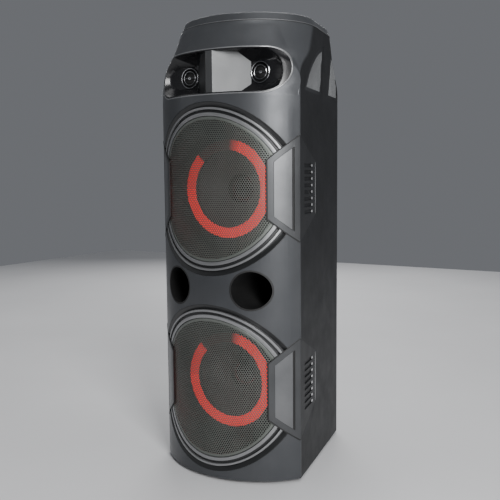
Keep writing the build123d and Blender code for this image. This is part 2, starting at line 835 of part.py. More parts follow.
with BuildPart() as power_switch:
    with BuildSketch(Plane.YZ.offset(rocker_place[0] - rocker_width / 2)):
        with Locations((plate_in_y, rocker_place[1])):
            Circle(rocker_radius)
            with Locations((rocker_radius + rocker_valley, 0)):
                Circle(rocker_radius * 1.1, mode=Mode.SUBTRACT)
    extrude(amount=rocker_width)
save(power_switch, "power_switch")

# Grab recess moulded as a cup behind the back wall
with BuildPart() as grab_cup:
    with BuildSketch(front(depth / 2)):
        with Locations((0, grab_z)):
            RectangleRounded(grab_width, grab_height, grab_height / 4)
    extrude(amount=grab_depth)
    with BuildSketch(front(depth / 2)):
        with Locations((0, grab_z)):
            RectangleRounded(
                grab_width - 2 * grab_wall, grab_height - 2 * grab_wall, grab_height / 4 - grab_wall)
    extrude(amount=grab_depth - grab_wall, mode=Mode.SUBTRACT)
save(grab_cup, "grab_cup")

# Amplifier board behind the connector plate and the battery on the base
with BuildPart() as amplifier_board:
    with BuildSketch(front(plate_in_y - socket_depth)):
        with Locations((0, plate_z)):
            Rectangle(amp_size[0], amp_size[2])
    extrude(amount=amp_size[1])
save(amplifier_board, "amplifier_board")

with BuildPart() as battery:
    with BuildSketch(Plane.XY.offset(base_z + base_thickness)):
        with Locations((0, battery_y)):
            Rectangle(battery_size[0], battery_size[1])
    extrude(amount=battery_size[2])
    fillet(edges().filter_by(Axis.Z), wall)
save(battery, "battery")

# Screws of the woofer flanges and of the connector plate
with BuildPart() as screws:
    with BuildSketch(front(flange_y + screw_length)):
        for z in woofer_z.values():
            with Locations((0, z)):
                with PolarLocations(flange_screw_circle, flange_screws):
                    Circle(screw_radius)
    extrude(amount=screw_length)
    with BuildSketch(front(flange_y)):
        for z in woofer_z.values():
            with Locations((0, z)):
                with PolarLocations(flange_screw_circle, flange_screws):
                    Circle(screw_head_radius)
    extrude(amount=screw_head)
    with BuildSketch(front(plate_back_y)):
        with Locations((0, plate_z)):
            with GridLocations(plate_width - 4 * screw_head_radius, plate_height - 4 * screw_head_radius, 2, 2):
                Circle(screw_radius)
    extrude(amount=screw_length)
save(screws, "screws")
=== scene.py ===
import json
import math
import bpy
import bmesh
import numpy as np
from mathutils import Matrix, Vector


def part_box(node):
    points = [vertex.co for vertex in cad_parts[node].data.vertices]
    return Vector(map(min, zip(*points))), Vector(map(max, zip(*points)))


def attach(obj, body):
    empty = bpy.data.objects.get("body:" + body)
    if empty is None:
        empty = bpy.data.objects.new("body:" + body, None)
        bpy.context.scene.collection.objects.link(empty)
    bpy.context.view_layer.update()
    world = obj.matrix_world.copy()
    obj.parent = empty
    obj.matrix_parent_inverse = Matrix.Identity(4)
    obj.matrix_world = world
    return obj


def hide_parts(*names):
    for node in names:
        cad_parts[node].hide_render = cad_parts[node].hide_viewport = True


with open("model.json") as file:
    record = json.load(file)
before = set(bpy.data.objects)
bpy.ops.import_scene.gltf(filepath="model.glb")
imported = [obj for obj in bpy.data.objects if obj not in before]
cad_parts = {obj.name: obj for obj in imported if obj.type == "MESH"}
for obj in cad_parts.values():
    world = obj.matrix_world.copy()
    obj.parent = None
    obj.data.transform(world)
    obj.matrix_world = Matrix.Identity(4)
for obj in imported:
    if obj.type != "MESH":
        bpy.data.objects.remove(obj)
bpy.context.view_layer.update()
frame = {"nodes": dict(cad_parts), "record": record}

mm = 0.001
scene = bpy.context.scene

# the front's apex and the woofers' heights come from the frame; the front is an upright cylinder
frontLow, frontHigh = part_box("front_shell")
apexY = frontLow.y
frontRadius = 190 * mm
axisY = apexY + frontRadius
levels = ("lower", "upper")
sides = {"left": -1, "right": 1}


def middleOf(node):
    low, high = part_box(node)
    return (low + high) / 2


wooferZ = {level: middleOf("cone_" + level).z for level in levels}


cameraLook = {"place": (0.7381, -1.252, 0.5592), "yaw": 31.12, "pitch": 5.84, "roll": -0.52, "lens": 52.47,
              "sensor": 36}


def makeCamera(look):
    # looks along forward: yaw turns it to the left, pitch down, and roll turns the picture about it
    yaw, pitch, roll = (math.radians(look[k]) for k in ("yaw", "pitch", "roll"))
    forward = Vector((-math.sin(yaw) * math.cos(pitch), math.cos(yaw) * math.cos(pitch), -math.sin(pitch)))
    level = Vector((math.cos(yaw), math.sin(yaw), 0))
    above = level.cross(forward)
    right = level * math.cos(roll) + above * math.sin(roll)
    up = -level * math.sin(roll) + above * math.cos(roll)
    data = bpy.data.cameras.new("camera")
    data.sensor_width = look["sensor"]
    data.lens = look["lens"]
    camera = bpy.data.objects.new("camera", data)
    turn = Matrix((right, up, -forward)).transposed().to_4x4()
    camera.matrix_world = Matrix.Translation(look["place"]) @ turn
    scene.collection.objects.link(camera)
    scene.camera = camera
    print("camera at", look["place"])


makeCamera(cameraLook)


stageLook = {"floor": 6.0, "world": (0.5, 0.52, 0.56), "worldStrength": 0.3}
lightLook = {
    "key": {"place": (2.1, -1.9, 1.5), "aim": (0, -0.05, 0.5), "size": (0.8, 1.7), "power": 110},
    "fill": {"place": (-2.6, -1.6, 1.6), "aim": (0, 0, 0.45), "size": (1.6, 1.6), "power": 5},
    "back": {"place": (-1.4, 2.4, 1.7), "aim": (0, 0.1, 0.5), "size": (1.6, 1.6), "power": 38},
    "top": {"place": (0.2, 0.3, 3.0), "aim": (0, 0, 0.5), "size": (2.0, 2.0), "power": 34},
}


def makeLights(lights):
    for name, look in lights.items():
        data = bpy.data.lights.new(name, "AREA")
        data.shape = "RECTANGLE"
        data.size, data.size_y = look["size"]
        data.energy = look["power"]
        lamp = bpy.data.objects.new(name, data)
        away = Vector(look["place"]) - Vector(look["aim"])
        turn = away.to_track_quat("Z", "Y").to_matrix().to_4x4()
        lamp.matrix_world = Matrix.Translation(look["place"]) @ turn
        scene.collection.objects.link(lamp)


def makeWorld(look):
    world = bpy.data.worlds.new("studio")
    world.use_nodes = True
    background = world.node_tree.nodes["Background"]
    background.inputs["Color"].default_value = (*look["world"], 1)
    background.inputs["Strength"].default_value = look["worldStrength"]
    scene.world = world


makeLights(lightLook)
makeWorld(stageLook)


def startMaterial(name):
    material = bpy.data.materials.new(name)
    material.use_nodes = True
    nodes, links = material.node_tree.nodes, material.node_tree.links
    shader = nodes["Principled BSDF"]
    return material, nodes, links, shader


def addNoise(nodes, links, scale, detail=3.0, stretch=(1, 1, 1), roughness=0.5):
    # noise on object coordinates, stretched per axis
    coords = nodes.new("ShaderNodeTexCoord")
    mapping = nodes.new("ShaderNodeMapping")
    mapping.inputs["Scale"].default_value = stretch
    noise = nodes.new("ShaderNodeTexNoise")
    noise.inputs["Scale"].default_value = scale
    noise.inputs["Detail"].default_value = detail
    noise.inputs["Roughness"].default_value = roughness
    links.new(coords.outputs["Object"], mapping.inputs["Vector"])
    links.new(mapping.outputs["Vector"], noise.inputs["Vector"])
    return noise.outputs["Fac"]


def addRamp(nodes, links, source, stops):
    # stops are (position, value or colour)
    ramp = nodes.new("ShaderNodeValToRGB")
    while len(ramp.color_ramp.elements) < len(stops):
        ramp.color_ramp.elements.new(0.5)
    for element, (position, value) in zip(ramp.color_ramp.elements, stops):
        element.position = position
        element.color = (*value, 1) if hasattr(value, "__len__") else (value, value, value, 1)
    links.new(source, ramp.inputs["Fac"])
    return ramp.outputs["Color"]


def addBump(nodes, links, source, shader, strength, distance):
    bump = nodes.new("ShaderNodeBump")
    bump.inputs["Strength"].default_value = strength
    bump.inputs["Distance"].default_value = distance
    links.new(source, bump.inputs["Height"])
    links.new(bump.outputs["Normal"], shader.inputs["Normal"])


def cloudColour(nodes, links, shader, colours, cloud):
    low, high = colours
    links.new(addRamp(nodes, links, cloud, [(0.3, low), (0.7, high)]), shader.inputs["Base Color"])


def plasticMaterial(name, look):
    # moulded plastic: cloudy colour, uneven gloss and a fine spark-eroded grain
    material, nodes, links, shader = startMaterial(name)
    cloudColour(nodes, links, shader, look["colours"], addNoise(nodes, links, look.get("cloud", 14.0), 4.0))
    rough = look["roughness"]
    smear = addNoise(nodes, links, look.get("smear", 30.0), 3.0, look.get("stretch", (1, 1, 1)))
    links.new(addRamp(nodes, links, smear, [(0.25, rough[0]), (0.75, rough[1])]), shader.inputs["Roughness"])
    grain = addNoise(nodes, links, look.get("grain", 2200.0), 2.0, look.get("stretch", (1, 1, 1)))
    addBump(nodes, links, grain, shader, look.get("bump", 0.25), look.get("depth", 0.00008))
    fixed = {"Metallic": look.get("metallic", 0.0), "Specular IOR Level": look.get("specular", 0.5),
             "Coat Weight": look.get("coat", 0.0), "Coat Roughness": 0.1}
    for socket, value in fixed.items():
        shader.inputs[socket].default_value = value
    return material


def addMath(nodes, links, operation, first, second=None):
    node = nodes.new("ShaderNodeMath")
    node.operation = operation
    for socket, value in zip(node.inputs, (first, second)):
        if isinstance(value, (int, float)):
            socket.default_value = value
        elif value is not None:
            links.new(value, socket)
    return node.outputs[0]


def addStep(nodes, links, source, start, end):
    # 0 before start and 1 after end, eased between them
    share = nodes.new("ShaderNodeMapRange")
    share.interpolation_type = "SMOOTHSTEP"
    share.inputs["From Min"].default_value = start
    share.inputs["From Max"].default_value = end
    links.new(source, share.inputs["Value"])
    return share.outputs["Result"]


def mixInto(nodes, links, shader, socket, mask, value):
    # blends what feeds a socket towards a fixed value where the mask is 1
    mix = nodes.new("ShaderNodeMix")
    mix.data_type = "RGBA"
    links.new(mask, mix.inputs["Factor"])
    links.new(shader.inputs[socket].links[0].from_socket, mix.inputs["A"])
    mix.inputs["B"].default_value = (*value, 1)
    links.new(mix.outputs["Result"], shader.inputs[socket])


def splitPosition(nodes, links):
    # x, y and z of the point on the object
    coords = nodes.new("ShaderNodeTexCoord")
    split = nodes.new("ShaderNodeSeparateXYZ")
    links.new(coords.outputs["Object"], split.inputs["Vector"])
    return split.outputs


def shoulderHighlightMaterial(name, look, shoulder):
    # the side's plastic, turning to the front's satin roughness and a lighter colour where the shoulders
    # leave the flat side's plane, and fading back again towards the rear; the lighter colour is a painted
    # highlight where the dome faces the light
    material = plasticMaterial(name, look)
    nodes, links = material.node_tree.nodes, material.node_tree.links
    shader = nodes["Principled BSDF"]
    place = splitPosition(nodes, links)
    across = addMath(nodes, links, "MULTIPLY", addMath(nodes, links, "ABSOLUTE", place["X"]),
                     float(sideOut[0]))
    back = addMath(nodes, links, "MULTIPLY", place["Y"], float(sideOut[1]))
    reach = addMath(nodes, links, "ADD", across, back)
    off = addMath(nodes, links, "SUBTRACT", float(sideGap + axisY * sideOut[1]), reach)
    mask = addStep(nodes, links, off, *shoulder["edge"])
    above = addStep(nodes, links, place["Z"], domeZ, domeZ + shoulder["rise"])
    mask = addMath(nodes, links, "MULTIPLY", mask, above)
    mask = addMath(nodes, links, "MULTIPLY", mask, addStep(nodes, links, place["Y"], *shoulder["fade"]))
    for socket, value in (("Base Color", shoulder["colour"]), ("Roughness", (shoulder["roughness"],) * 3)):
        mixInto(nodes, links, shader, socket, mask, value)
    return material


plasticLooks = {
    "satinShell": {"colours": ((0.052, 0.055, 0.060), (0.066, 0.069, 0.074)), "roughness": (0.33, 0.41),
                   "metallic": 0.45, "bump": 0.16},
    "matteSide": {"colours": ((0.011, 0.0115, 0.0125), (0.016, 0.0165, 0.018)), "roughness": (0.48, 0.6),
                  "bump": 0.3, "specular": 0.35},
    # real trim on the rings and socket frames; on the lips along the cap's seam and the horn's mouth its
    # lighter colour is a painted highlight
    "satinTrimAndPaintedHighlight": {"colours": ((0.22, 0.222, 0.228), (0.28, 0.283, 0.288)), "roughness": (0.3, 0.4),
                  "metallic": 0.7},
    "cheekGrey": {"colours": ((0.055, 0.057, 0.06), (0.075, 0.077, 0.08)), "roughness": (0.32, 0.42),
                  "metallic": 0.6},
    "brushedInlay": {"colours": ((0.12, 0.123, 0.128), (0.165, 0.168, 0.173)), "roughness": (0.3, 0.44),
                     "metallic": 0.75, "stretch": (1, 1, 30), "grain": 300.0, "bump": 0.3},
    "windowGrey": {"colours": ((0.2, 0.205, 0.21), (0.26, 0.265, 0.27)), "roughness": (0.35, 0.5),
                   "metallic": 0.3},
    "glossBlack": {"colours": ((0.006, 0.006, 0.007), (0.010, 0.010, 0.011)), "roughness": (0.10, 0.2),
                   "bump": 0.05},
    "hornBlack": {"colours": ((0.006, 0.006, 0.007), (0.010, 0.010, 0.011)), "roughness": (0.2, 0.27),
                  "bump": 0.05},
    # pale marks on the buttons and round the dials; on the louvre tips and the edge behind them its pale
    # colour is a painted highlight
    "paleMarkAndPaintedHighlight": {"colours": ((0.5, 0.503, 0.51), (0.6, 0.603, 0.61)), "roughness": (0.25, 0.35),
                   "metallic": 0.6},
    "paintedBoard": {"colours": ((0.006, 0.006, 0.006), (0.011, 0.011, 0.011)), "roughness": (0.6, 0.8),
                     "grain": 900.0},
    "panelBlack": {"colours": ((0.014, 0.0145, 0.015), (0.02, 0.0205, 0.021)), "roughness": (0.3, 0.42),
                   "bump": 0.2},
    "recessBlack": {"colours": ((0.008, 0.0085, 0.009), (0.014, 0.0145, 0.015)), "roughness": (0.3, 0.38),
                    "bump": 0.1},
    "deepBlack": {"colours": ((0.004, 0.004, 0.004), (0.008, 0.008, 0.008)), "roughness": (0.5, 0.65)},
    "grilleSteel": {"colours": ((0.10, 0.11, 0.1), (0.14, 0.15, 0.138)), "roughness": (0.38, 0.5),
                    "bump": 0.2, "metallic": 0.55},
    "softRubber": {"colours": ((0.010, 0.010, 0.010), (0.018, 0.018, 0.018)), "roughness": (0.6, 0.8),
                   "bump": 0.5},
    "paperCone": {"colours": ((0.018, 0.018, 0.019), (0.035, 0.035, 0.036)), "roughness": (0.5, 0.7),
                  "grain": 900.0, "bump": 0.6},
    "darkChrome": {"colours": ((0.40, 0.40, 0.41), (0.5, 0.5, 0.51)), "roughness": (0.12, 0.22),
                   "metallic": 1.0},
    "wedgeGrey": {"colours": ((0.05, 0.052, 0.054), (0.068, 0.07, 0.072)), "roughness": (0.3, 0.38),
                  "metallic": 0.35},
    "knobBlack": {"colours": ((0.02, 0.02, 0.021), (0.03, 0.03, 0.031)), "roughness": (0.3, 0.42)},
    "zincSteel": {"colours": ((0.45, 0.45, 0.44), (0.6, 0.6, 0.58)), "roughness": (0.3, 0.45),
                  "metallic": 1.0},
    "ferrite": {"colours": ((0.02, 0.02, 0.021), (0.05, 0.05, 0.051)), "roughness": (0.6, 0.8),
                "grain": 700.0},
    "circuitGreen": {"colours": ((0.01, 0.07, 0.03), (0.02, 0.12, 0.05)), "roughness": (0.3, 0.4)},
    "cellWrap": {"colours": ((0.02, 0.05, 0.14), (0.03, 0.07, 0.2)), "roughness": (0.25, 0.4)},
    "copperWire": {"colours": ((0.5, 0.22, 0.1), (0.65, 0.3, 0.14)), "roughness": (0.25, 0.4),
                   "metallic": 1.0, "stretch": (1, 40, 1), "grain": 200.0},
    "amberCloth": {"colours": ((0.2, 0.12, 0.04), (0.32, 0.2, 0.07)), "roughness": (0.7, 0.85),
                   "grain": 1200.0},
    "displayGlass": {"colours": ((0.004, 0.006, 0.009), (0.006, 0.009, 0.013)), "roughness": (0.04, 0.08),
                     "coat": 1.0},
}
materials = {name: plasticMaterial(name, look) for name, look in plasticLooks.items()}
print("materials made", len(materials))


# the gap's two angles are in degrees, and the widths of its soft edges are shares of a turn
glowLook = {"colour": (1.0, 0.012, 0.01), "strength": 1.15, "dark": (86.0, 134.0), "dim": 0.0,
            "softStart": 0.045,
            "softEnd": 0.004, "afterGap": 0.75, "base": ((0.05, 0.012, 0.012), (0.08, 0.016, 0.016)),
            "cloud": 60.0, "roughness": 0.35}


def glowMaterial(name, look, centre):
    # light guide: glows all round except for a dark gap between two angles about the woofer's axis
    material, nodes, links, shader = startMaterial(name)
    place = splitPosition(nodes, links)
    angle = addMath(nodes, links, "ARCTAN2", addMath(nodes, links, "SUBTRACT", place["Z"], float(centre)),
                    place["X"])
    share = nodes.new("ShaderNodeMapRange")
    share.inputs["From Min"].default_value = -math.pi
    share.inputs["From Max"].default_value = math.pi
    links.new(angle, share.inputs["Value"])
    start, end = (0.5 + a / 360 for a in look["dark"])
    stops = [(0, 1.0), (start - look["softStart"], 1.0), (start, look["dim"]), (end, look["dim"]),
             (end + look["softEnd"], look["afterGap"])]
    mask = addRamp(nodes, links, share.outputs["Result"], stops)
    links.new(addMath(nodes, links, "MULTIPLY", mask, look["strength"]), shader.inputs["Emission Strength"])
    shader.inputs["Emission Color"].default_value = (*look["colour"], 1)
    cloudColour(nodes, links, shader, look["base"], addNoise(nodes, links, look["cloud"]))
    shader.inputs["Roughness"].default_value = look["roughness"]
    return material


def meterMaterial(name, look):
    # softly glowing display segments
    material = plasticMaterial(name, look)
    shader = material.node_tree.nodes["Principled BSDF"]
    shader.inputs["Emission Color"].default_value = (*look["glow"], 1)
    shader.inputs["Emission Strength"].default_value = look["strength"]
    return material


segmentLook = {"colours": ((0.05, 0.09, 0.12), (0.07, 0.12, 0.15)), "roughness": (0.3, 0.4),
               "glow": (0.35, 0.75, 1.0), "strength": 0.8}
materials["meterGlow"] = meterMaterial("meterGlow", segmentLook)


def ribbedMaterial(name, look, ribs):
    # window plastic with painted shade in its rib valleys: darkened by a cosine of the distance back along
    # the side, which repeats with the ribs
    material = plasticMaterial(name, look)
    nodes, links = material.node_tree.nodes, material.node_tree.links
    shader = nodes["Principled BSDF"]
    back = addMath(nodes, links, "SUBTRACT", splitPosition(nodes, links)["Y"], float(cornerY))
    along = addMath(nodes, links, "DIVIDE", back, float(sideDir[1]))
    wave = addMath(nodes, links, "COSINE",
                   addMath(nodes, links, "MULTIPLY", along, 2 * math.pi / ribs["ribPitch"]))
    valleyShade = addMath(nodes, links, "MULTIPLY", addStep(nodes, links, wave, 0.0, 1.0), ribs["shade"])
    mixInto(nodes, links, shader, "Base Color", valleyShade, ribs["valleyShade"])
    return material


floorLook = {"colours": ((0.62, 0.62, 0.63), (0.66, 0.66, 0.67)), "roughness": (0.6, 0.75), "cloud": 2.0,
             "smear": 3.0, "grain": 400.0, "bump": 0.05}
floorMaterial = plasticMaterial("paleFloor", floorLook)


def makeFloor(look):
    mesh = bpy.data.meshes.new("floor")
    half = look["floor"] / 2
    mesh.from_pydata([(-half, -half, 0), (half, -half, 0), (half, half, 0), (-half, half, 0)], [],
                     [(0, 1, 2, 3)])
    floor = bpy.data.objects.new("floor", mesh)
    mesh.materials.append(floorMaterial)
    scene.collection.objects.link(floor)


makeFloor(stageLook)


def paint(node, material):
    mesh = frame["nodes"][node].data
    mesh.materials.clear()
    mesh.materials.append(material)


# nodes shown as they come from the frame; every other node gets a finished piece in its place
nodeFinish = {"driver_board": "paintedBoard", "amplifier_board": "circuitGreen", "battery": "cellWrap",
              "screws": "zincSteel"}
levelFinish = {"led_carrier": "deepBlack", "basket": "deepBlack", "magnet": "ferrite",
               "motor_steel": "zincSteel",
               "cone": "paperCone", "surround": "softRubber", "dust_cap": "glossBlack",
               "voice_coil": "copperWire", "spider": "amberCloth"}
for node, finish in nodeFinish.items():
    paint(node, materials[finish])
for level in levels:
    for stem, finish in levelFinish.items():
        paint(stem + "_" + level, materials[finish])
print("finishes set")


def outwards(points, faces):
    # quads with the shell's signed volume made positive
    a, b, c, d = (points[faces[:, k]] for k in range(4))
    volume = np.einsum("ij,ij->", a, np.cross(b, c)) + np.einsum("ij,ij->", a, np.cross(c, d))
    return faces if volume > 0 else faces[:, ::-1]


def gridFaces(rows, columns, wrapRows=False, wrapColumns=False):
    # quads between neighbours of a rows x columns grid of points
    i = np.arange(rows if wrapRows else rows - 1)
    j = np.arange(columns if wrapColumns else columns - 1)
    i, j = (k.ravel() for k in np.meshgrid(i, j, indexing="ij"))
    down, across = (i + 1) % rows, (j + 1) % columns
    return np.stack([i * columns + j, down * columns + j, down * columns + across, i * columns + across],
                    axis=1)


slotOf = {part["node"]: part["material_slot"] for part in frame["record"]["subparts"]}
bodyOf = {node: body for body, nodes in frame["record"]["behaviour"]["bodies"].items() for node in nodes}


def makePiece(name, points, faces, finish, body="housing", slot=None, stands=(), crease=35):
    mesh = bpy.data.meshes.new(name)
    used = [tuple(dict.fromkeys(face)) for face in np.asarray(faces).tolist()]
    mesh.from_pydata(np.asarray(points).reshape(-1, 3).tolist(), [], [f for f in used if len(f) > 2])
    mesh.polygons.foreach_set("use_smooth", np.ones(len(mesh.polygons), bool))
    mesh.set_sharp_from_angle(angle=math.radians(crease))
    mesh.materials.append(materials[finish])
    piece = bpy.data.objects.new(name, mesh)
    scene.collection.objects.link(piece)
    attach(piece, body)
    if stands:
        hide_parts(*stands)
    return piece


def sweepShell(points, closed):
    # rows x columns grid as a closed shell; an open path gets a fan at each end
    rows, columns = points.shape[:2]
    flat = points.reshape(-1, 3)
    if closed:
        return flat, outwards(flat, gridFaces(rows, columns, True, True))
    flat = np.concatenate([flat, points[0].mean(0)[None], points[-1].mean(0)[None]])
    j = np.arange(columns)
    nextJ = (j + 1) % columns
    last = (rows - 1) * columns
    first = np.stack([j * 0 + rows * columns, j, nextJ, j * 0 + rows * columns], axis=1)
    end = np.stack([j * 0 + rows * columns + 1, last + nextJ, last + j, j * 0 + rows * columns + 1], axis=1)
    return flat, outwards(flat, np.concatenate([gridFaces(rows, columns, False, True), first, end]))


def closedSweep(name, points, finish, **kinds):
    # points is a rows x columns grid; rows run round the path, columns round the closed profile
    return makePiece(name, *sweepShell(points, True), finish, **kinds)


def roundedLoop(corners, radii, steps=5):
    # closed outline with its corners rounded by quadratic curves
    corners = np.asarray(corners, float)
    radii = np.broadcast_to(radii, len(corners))
    before, after = np.roll(corners, 1, 0) - corners, np.roll(corners, -1, 0) - corners
    toBefore, toAfter = (np.linalg.norm(run, axis=1) for run in (before, after))
    reach = np.minimum(radii, 0.45 * np.minimum(toBefore, toAfter))
    start = corners + before / toBefore[:, None] * reach[:, None]
    end = corners + after / toAfter[:, None] * reach[:, None]
    t = np.linspace(0, 1, steps)[None, :, None]
    curve = start[:, None] * (1 - t) ** 2 + 2 * corners[:, None] * t * (1 - t) + end[:, None] * t ** 2
    return curve.reshape(-1, corners.shape[1])


domeRadius = 270 * mm
domeLength = 135 * mm
domeZ = frontHigh.z - domeLength
cornerX = 150 * mm
cornerY = axisY - math.sqrt(frontRadius ** 2 - cornerX ** 2)
rearY = -apexY
sideLean = 52 * mm
sideLength = math.hypot(sideLean, rearY - cornerY)
sideDir = np.array([-sideLean, rearY - cornerY]) / sideLength
sideOut = np.array([sideDir[1], -sideDir[0]])


def domeInset(z):
    # the shoulders come in along an arc of the dome's radius
    rise = np.clip(z - domeZ, 0, domeLength)
    return domeRadius - np.sqrt(domeRadius ** 2 - rise ** 2)


cornerLook = {"radius": 2 * mm, "growth": 114 * mm, "start": 30 * mm, "height": 67 * mm}
sideGap = cornerX * sideOut[0] + (cornerY - axisY) * sideOut[1]


def onFront(x, z, depth, look=cornerLook):
    # front: an upright cylinder moved in by the dome's inset and by depth; in the shoulders an arc that
    # touches both the cylinder and the flat side rounds the corner off, its radius easing in as a cosine
    x, z, depth = np.broadcast_arrays(x, z, depth)
    reach = frontRadius - domeInset(z) - depth
    turn = np.pi * np.clip((z - domeZ - look["start"]) / look["height"], 0, 1)
    rounding = look["radius"] + look["growth"] * (1 - np.cos(turn)) / 2 - depth
    rounding = np.maximum(rounding, look["radius"] / 2)
    gap = sideGap - depth
    run = np.sqrt(np.maximum((reach - gap) * (reach + gap - 2 * rounding), 0))
    centreX = sideOut[0] * (gap - rounding) - sideDir[0] * run
    centreY = axisY + sideOut[1] * (gap - rounding) - sideDir[1] * run
    rounded = centreY - np.sqrt(np.maximum(rounding ** 2 - (np.abs(x) - centreX) ** 2, 0))
    plain = axisY - np.sqrt(np.maximum(reach ** 2 - x ** 2, 1e-8))
    past = (turn > 0) & (np.abs(x) > centreX * reach / (reach - rounding))
    return np.stack([x, np.where(past, rounded, plain), z], axis=-1)


def onSide(along, z, depth, sign=1):
    # side: a flat upright wall leaning in towards the back, moved in by depth
    along, z, depth = np.broadcast_arrays(along, z, depth)
    x = cornerX + sideDir[0] * along - sideOut[0] * depth
    y = cornerY + sideDir[1] * along - sideOut[1] * depth
    return np.stack([sign * x, y, z], axis=-1)


cheekLook = {"innerX": 105.6 * mm, "innerHalf": 51 * mm, "cornerHalf": 94 * mm, "jointGap": 0.5 * mm,
             "satinGap": 0.6 * mm, "rounding": 0.45 * mm, "inlayRounding": 0.3 * mm}
cheekSlope = (cheekLook["cornerHalf"] - cheekLook["innerHalf"]) / (cornerX - cheekLook["innerX"])


def underCheek(x, z):
    # how far a point lies inside the cheek's outline, in metres
    inX = np.abs(x) - cheekLook["innerX"]
    inZ = (cheekLook["innerHalf"] + cheekSlope * inX - np.abs(z)) / math.hypot(1, cheekSlope)
    return np.minimum(inX, inZ)


# profiles are (radius, depth under the front) in mm; parts give the finish and the rounding of each profile
ringLook = {
    "parts": {"pan": ("recessBlack", 0.5), "outer": ("satinTrimAndPaintedHighlight", 0.5), "inner": ("satinTrimAndPaintedHighlight", 0.6)},
    "steps": 480, "squeezeFrom": 134 * mm, "squeeze": 0.2, "tuck": 4.2 * mm, "tuckWidth": 1.2 * mm,
    "pan": [(155.0, 7.6), (155.0, 0.9), (154.6, 0.45), (153.9, 0.5), (146.4, 4.9), (145.9, 5.6), (129.0, 5.6),
            (126.0, 5.6), (126.0, 7.6)],
    "outer": [(141.4, 6.0), (141.4, 0.75), (145.2, 0.55), (145.2, 6.0)],
    "inner": [(130.0, 6.0), (130.0, 1.9), (136.0, 1.5), (136.0, 6.0)],
}


def ringSweep(profile, z, look=ringLook):
    # circle of each profile radius seen from the front, laid on the front's cylinder at the profile's depth;
    # past the last visible angle it is squeezed in sideways and tucked under the cheeks
    angle = np.linspace(0, 2 * math.pi, look["steps"], endpoint=False)[:, None]
    radius, depth = profile[None, :, 0], profile[None, :, 1]
    x, up = radius * np.cos(angle), radius * np.sin(angle)
    excess = np.maximum(np.abs(x) - look["squeezeFrom"], 0)
    squeezed = np.sign(x) * (np.abs(x) - excess * (1 - look["squeeze"]))
    tuck = np.clip(underCheek(x, up) / look["tuckWidth"], 0, 1) * look["tuck"]
    return onFront(squeezed, z + up, np.maximum(depth, np.minimum(depth + tuck, tuck)))


for level in levels:
    for part, (finish, rounding) in ringLook["parts"].items():
        loop = roundedLoop(np.array(ringLook[part]) * mm, rounding * mm)
        stands = ["trim_ring_" + level] if part == "pan" else []
        closedSweep("trim_" + part + "_" + level, ringSweep(loop, wooferZ[level]), finish, slot="trim",
                    stands=stands)
print("trim rings made")

grilleLook = {"radius": 129 * mm, "holes": 125.5 * mm, "pitch": 4.0 * mm, "bar": 1.1 * mm, "depth": 3.0 * mm,
              "thickness": 0.9 * mm,
              "rim": [(124.0, 3.9), (124.2, 2.9), (128.2, 2.75), (129.0, 3.3), (129.0, 4.9), (124.0, 4.9)]}


def perforatedSheet(look, z):
    # hexagonal cells on a triangular lattice, each with a six-sided hole, top and bottom skins and hole walls
    pitch, count = look["pitch"], int(look["radius"] / look["pitch"] * 1.3) + 2
    a, b = (k.ravel() for k in np.meshgrid(np.arange(-count, count + 1), np.arange(-count, count + 1)))
    centre = np.stack([(a + b / 2) * pitch, b * pitch * math.sqrt(3) / 2], axis=1)
    centre = centre[np.hypot(*centre.T) < look["holes"]]
    turn = np.arange(6) * math.pi / 3 + math.pi / 6
    spoke = np.stack([np.cos(turn), np.sin(turn)], axis=1)
    cell = pitch / math.sqrt(3)
    outer = (centre[:, None] + spoke[None] * cell).reshape(-1, 2)
    key = np.round(outer / (cell * 0.01)).astype(int)
    unique, first, index = np.unique(key, axis=0, return_index=True, return_inverse=True)
    index = index.reshape(-1)
    flatOuter = outer[first]
    inner = (centre[:, None] + spoke[None] * (cell - look["bar"] / math.sqrt(3))).reshape(-1, 2)
    plan = np.concatenate([flatOuter, inner])
    top = onFront(plan[:, 0], z + plan[:, 1], look["depth"])
    low = onFront(plan[:, 0], z + plan[:, 1], look["depth"] + look["thickness"])
    points, half = np.concatenate([top, low]), len(plan)
    corner = np.arange(6)
    cellRow = np.arange(len(centre))[:, None] * 6
    out0 = index[(cellRow + corner[None]).ravel()]
    out1 = index[(cellRow + (corner[None] + 1) % 6).ravel()]
    in0 = len(flatOuter) + (cellRow + corner[None]).ravel()
    in1 = len(flatOuter) + (cellRow + (corner[None] + 1) % 6).ravel()
    skin = np.stack([out0, out1, in1, in0], axis=1)
    walls = np.stack([in0, in1, in1 + half, in0 + half], axis=1)
    edges = np.sort(np.stack([out0, out1], axis=1), axis=1)
    unused, where, counts = np.unique(edges, axis=0, return_index=True, return_counts=True)
    rim = where[counts == 1]
    border = np.stack([out1[rim], out0[rim], out0[rim] + half, out1[rim] + half], axis=1)
    return points, np.concatenate([skin, skin[:, ::-1] + half, walls, border])


for level in levels:
    points, faces = perforatedSheet(grilleLook, wooferZ[level])
    makePiece("grille_sheet_" + level, points, outwards(points, faces), "grilleSteel", slot="grille",
              stands=["grille_" + level], crease=30)
    loop = roundedLoop(np.array(grilleLook["rim"]) * mm, 0.35 * mm)
    closedSweep("grille_rim_" + level, ringSweep(loop, wooferZ[level]), "grilleSteel", slot="grille")
print("grilles perforated")

